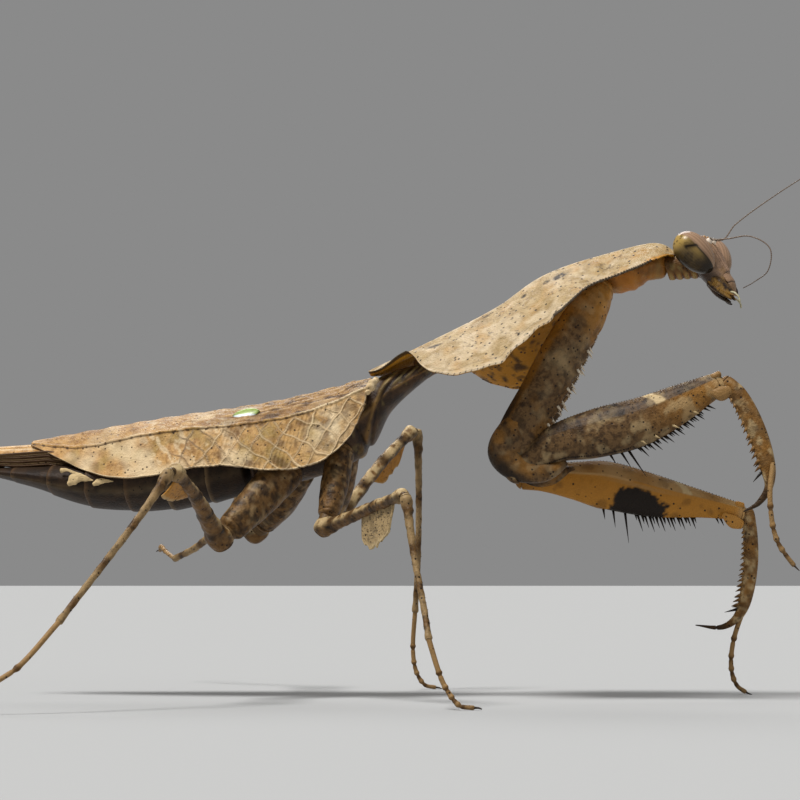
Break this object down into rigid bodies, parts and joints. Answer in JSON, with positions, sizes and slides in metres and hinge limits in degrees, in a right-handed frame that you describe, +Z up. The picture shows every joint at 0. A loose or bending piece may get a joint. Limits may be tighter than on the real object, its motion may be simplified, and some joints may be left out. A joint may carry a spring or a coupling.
{
  "type": "dead leaf mantis",
  "caption": "Life-size still model of a dead leaf mantis standing on its walking legs with its spined fore legs raised, under a broad leaf-like neck shield and folded leaf-like wings.",
  "frame": {"origin": "middle of the whole animal's bounds, on the floor it stands on", "axes": "+X runs from tail to head, +Y points to the animal's left, +Z is up"},
  "size_m": [0.0932, 0.083, 0.0567],
  "materials": {
    "shield": "matt",
    "wing": "satin",
    "body": "satin",
    "leg": "satin",
    "face": "satin",
    "eye": "gloss"
  },
  "bodies": {
    "root": {"abdomen_segment_1": "body", "abdomen_segment_2": "body", "abdomen_segment_3": "body", "abdomen_segment_4": "body", "abdomen_segment_5": "body", "abdomen_segment_6": "body", "abdomen_segment_7": "body", "antenna_left": "leg", "antenna_right": "leg", "cercus_left": "leg", "cercus_right": "leg", "eye_left": "eye", "eye_right": "eye", "fore_coxa_left": "leg", "fore_coxa_right": "leg", "fore_femur_left": "leg", "fore_femur_right": "leg", "fore_tarsus_left": "leg", "fore_tarsus_right": "leg", "fore_tibia_left": "leg", "fore_tibia_right": "leg", "forewing_left": "wing", "forewing_right": "wing", "head": "face", "hind_coxa_left": "leg", "hind_coxa_right": "leg", "hind_femur_left": "leg", "hind_femur_right": "leg", "hind_tarsus_left": "leg", "hind_tarsus_right": "leg", "hind_tibia_left": "leg", "hind_tibia_right": "leg", "hindwing_left": "wing", "hindwing_right": "wing", "mesothorax": "body", "metathorax": "body", "mid_coxa_left": "leg", "mid_coxa_right": "leg", "mid_femur_left": "leg", "mid_femur_right": "leg", "mid_tarsus_left": "leg", "mid_tarsus_right": "leg", "mid_tibia_left": "leg", "mid_tibia_right": "leg", "mouthparts": "face", "neck": "body", "pronotum_shield": "shield", "prothorax": "body"}
  },
  "joints": []
}
